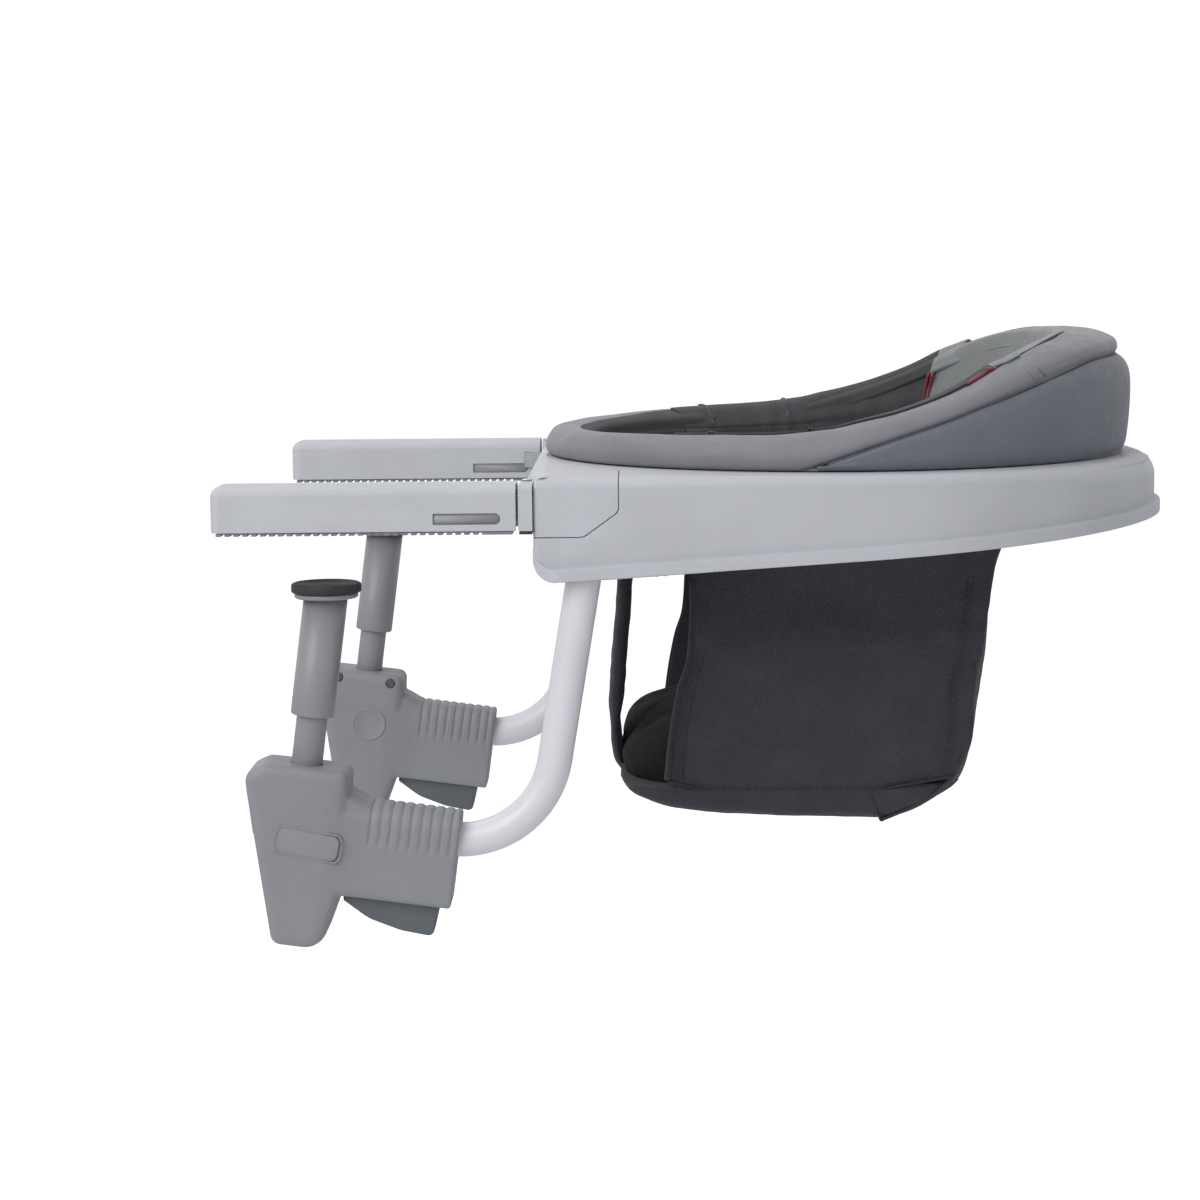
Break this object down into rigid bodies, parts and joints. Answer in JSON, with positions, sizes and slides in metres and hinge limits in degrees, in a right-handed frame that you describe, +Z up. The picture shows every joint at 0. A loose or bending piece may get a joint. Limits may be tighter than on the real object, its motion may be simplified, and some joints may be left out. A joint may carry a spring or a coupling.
{
  "type": "hook-on table chair",
  "caption": "Child's swivelling padded seat in a ring base, hung from a table edge by flat arms above the top and screwless rod clamps below it.",
  "frame": {"origin": "where the table's upper face meets its front edge, midway between the two arms", "axes": "+X from the table towards the seat, +Y to the seated child's right, +Z up"},
  "size_m": [0.622, 0.45, 0.3791],
  "materials": {
    "pale_plastic": "light grey moulded plastic, fine matt grain",
    "grey_plastic": "mid grey moulded plastic, matt",
    "lever_plastic": "dark blue-grey moulded plastic, matt",
    "painted_tube": "light grey paint, satin",
    "rod_paint": "mid grey paint, satin",
    "bare_steel": "bare steel, satin",
    "cast_metal": "rough cast surface",
    "black_rubber": "matt rubber",
    "rim_leather": "padded imitation leather, soft grain",
    "side_leather": "imitation leather, fine grain",
    "pad_leather": "padded imitation leather, soft grain",
    "black_cloth": "woven cloth",
    "lining_cloth": "smooth lining cloth"
  },
  "bodies": {
    "base": {"base_shell": "pale_plastic", "under_cover": "pale_plastic", "frame_hoop": "bare_steel", "arm_bracket_left": "pale_plastic", "arm_fold_pin_left": "bare_steel", "edge_bumper_left": "black_rubber", "bracket_cover_left": "pale_plastic", "hinge_block_left": "cast_metal", "arm_bracket_right": "pale_plastic", "arm_fold_pin_right": "bare_steel", "edge_bumper_right": "black_rubber", "bracket_cover_right": "pale_plastic", "hinge_block_right": "cast_metal"},
    "seat": {"seat_ring": "grey_plastic", "rim_pad": "rim_leather", "side_panel": "side_leather", "backrest_pad": "pad_leather", "bag_side_right": "black_cloth", "bag_side_left": "black_cloth", "bag_back": "black_cloth", "front_apron": "lining_cloth", "crotch_panel": "black_cloth", "seat_cushion": "black_cloth", "bag_floor": "black_cloth"},
    "lock_catch": {"swivel_lock_catch": "grey_plastic"},
    "arm_left": {"arm_cover_left": "pale_plastic", "arm_bar_left": "bare_steel", "arm_grip_left": "black_rubber"},
    "clamp_left": {"j_tube_left": "painted_tube", "clamp_cover_outer_left": "grey_plastic", "clamp_cover_inner_left": "grey_plastic", "clamp_screw_front_left": "bare_steel", "clamp_screw_back_left": "bare_steel", "clamp_spring_left": "bare_steel", "brake_plate_left": "bare_steel", "lever_pin_left": "bare_steel"},
    "clamp_rod_left": {"clamp_rod_left": "rod_paint", "foot_sleeve_left": "rod_paint", "foot_pad_left": "black_rubber"},
    "lever_left": {"squeeze_lever_left": "lever_plastic"},
    "drive_plate_left": {"drive_plate_left": "bare_steel"},
    "release_button_left": {"release_button_left": "grey_plastic"},
    "arm_right": {"arm_cover_right": "pale_plastic", "arm_bar_right": "bare_steel", "arm_grip_right": "black_rubber"},
    "clamp_right": {"j_tube_right": "painted_tube", "clamp_cover_outer_right": "grey_plastic", "clamp_cover_inner_right": "grey_plastic", "clamp_screw_front_right": "bare_steel", "clamp_screw_back_right": "bare_steel", "clamp_spring_right": "bare_steel", "brake_plate_right": "bare_steel", "lever_pin_right": "bare_steel"},
    "clamp_rod_right": {"clamp_rod_right": "rod_paint", "foot_sleeve_right": "rod_paint", "foot_pad_right": "black_rubber"},
    "lever_right": {"squeeze_lever_right": "lever_plastic"},
    "drive_plate_right": {"drive_plate_right": "bare_steel"},
    "release_button_right": {"release_button_right": "grey_plastic"}
  },
  "joints": [
    {"name": "seat_swivel", "type": "hinge", "parent": "base", "child": "seat", "pos_m": [0.201, 0, 0.03], "axis": [0, 0, 1], "continuous": true},
    {"name": "lock_catch_slide", "type": "slide", "parent": "base", "child": "lock_catch", "axis": [-1, 0, 0], "range_m": [0, 0.004]},
    {"name": "arm_fold_left", "type": "hinge", "parent": "base", "child": "arm_left", "pos_m": [-0.0045, -0.19, 0.016], "axis": [0, 0, -1], "range_deg": [0, 74]},
    {"name": "clamp_swing_left", "type": "hinge", "parent": "base", "child": "clamp_left", "pos_m": [0.0302, -0.203, -0.0323], "axis": [-0.1668, 0, -0.986], "range_deg": [0, 85]},
    {"name": "rod_slide_left", "type": "slide", "parent": "clamp_left", "child": "clamp_rod_left", "axis": [0.134, 0, 0.991], "range_m": [-0.025, 0.011]},
    {"name": "lever_squeeze_left", "type": "hinge", "parent": "clamp_left", "child": "lever_left", "pos_m": [-0.1174, -0.203, -0.22197], "axis": [0, -1, 0], "range_deg": [0, 14], "stiffness_Nm_per_rad": 0.6, "springref_deg": -6.88},
    {"name": "drive_slide_left", "type": "slide", "parent": "clamp_left", "child": "drive_plate_left", "axis": [0.134, 0, 0.991], "range_m": [0, 0.00244]},
    {"name": "release_press_left", "type": "slide", "parent": "clamp_left", "child": "release_button_left", "axis": [0.9934, 0, 0.1149], "range_m": [0, 0.0025], "stiffness_N_per_m": 600, "springref_m": -0.001},
    {"name": "arm_fold_right", "type": "hinge", "parent": "base", "child": "arm_right", "pos_m": [-0.0045, 0.19, 0.016], "axis": [0, 0, 1], "range_deg": [0, 74]},
    {"name": "clamp_swing_right", "type": "hinge", "parent": "base", "child": "clamp_right", "pos_m": [0.0302, 0.203, -0.0323], "axis": [0.1668, 0, 0.986], "range_deg": [0, 85]},
    {"name": "rod_slide_right", "type": "slide", "parent": "clamp_right", "child": "clamp_rod_right", "axis": [0.134, 0, 0.991], "range_m": [-0.025, 0.011]},
    {"name": "lever_squeeze_right", "type": "hinge", "parent": "clamp_right", "child": "lever_right", "pos_m": [-0.1174, 0.203, -0.22197], "axis": [0, -1, 0], "range_deg": [0, 14], "stiffness_Nm_per_rad": 0.6, "springref_deg": -6.88},
    {"name": "drive_slide_right", "type": "slide", "parent": "clamp_right", "child": "drive_plate_right", "axis": [0.134, 0, 0.991], "range_m": [0, 0.00244]},
    {"name": "release_press_right", "type": "slide", "parent": "clamp_right", "child": "release_button_right", "axis": [0.9934, 0, 0.1149], "range_m": [0, 0.0025], "stiffness_N_per_m": 600, "springref_m": -0.001}
  ],
  "couplings": [
    {"joint": "lever_squeeze_left", "follows": "drive_slide_left", "rad_per_m": 100},
    {"joint": "lever_squeeze_right", "follows": "drive_slide_right", "rad_per_m": 100}
  ]
}
